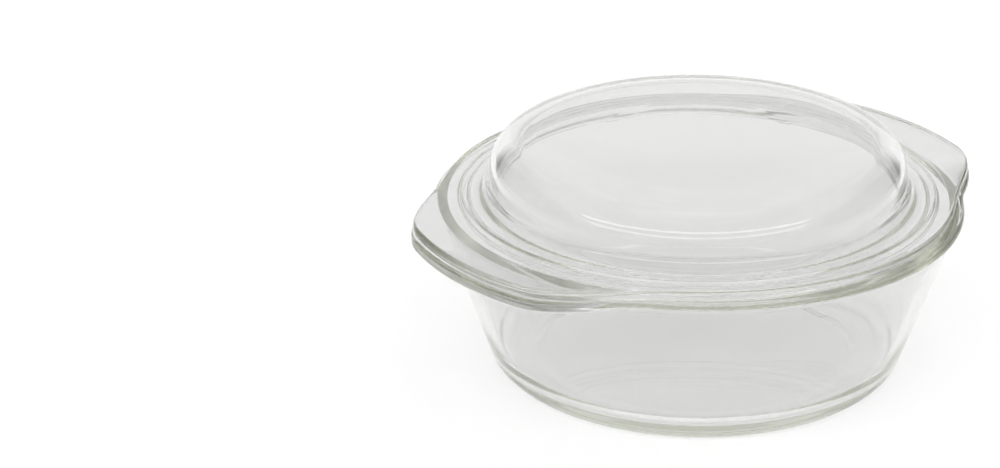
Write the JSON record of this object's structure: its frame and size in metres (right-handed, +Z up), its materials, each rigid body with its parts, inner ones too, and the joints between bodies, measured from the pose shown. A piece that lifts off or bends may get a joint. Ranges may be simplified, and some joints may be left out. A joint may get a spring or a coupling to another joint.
{
  "type": "covered casserole dish",
  "caption": "Round clear pressed-glass casserole with two wide ears and a low domed glass lid that lifts off.",
  "frame": {"origin": "centre of the foot, on the surface that the dish stands on", "axes": "+Z up along the axis of the round dish and lid, +X and -X out through the two ears"},
  "size_m": [0.225, 0.2, 0.0883],
  "materials": {
    "dish_glass": "clear pressed glass, glossy",
    "lid_glass": "clear pressed glass, glossy"
  },
  "bodies": {
    "dish": {"dish": "dish_glass"},
    "lid": {"lid": "lid_glass"}
  },
  "joints": [
    {"name": "lid_lift", "type": "slide", "parent": "dish", "child": "lid", "axis": [0, 0, 1], "range_m": [0, 0.12]}
  ]
}
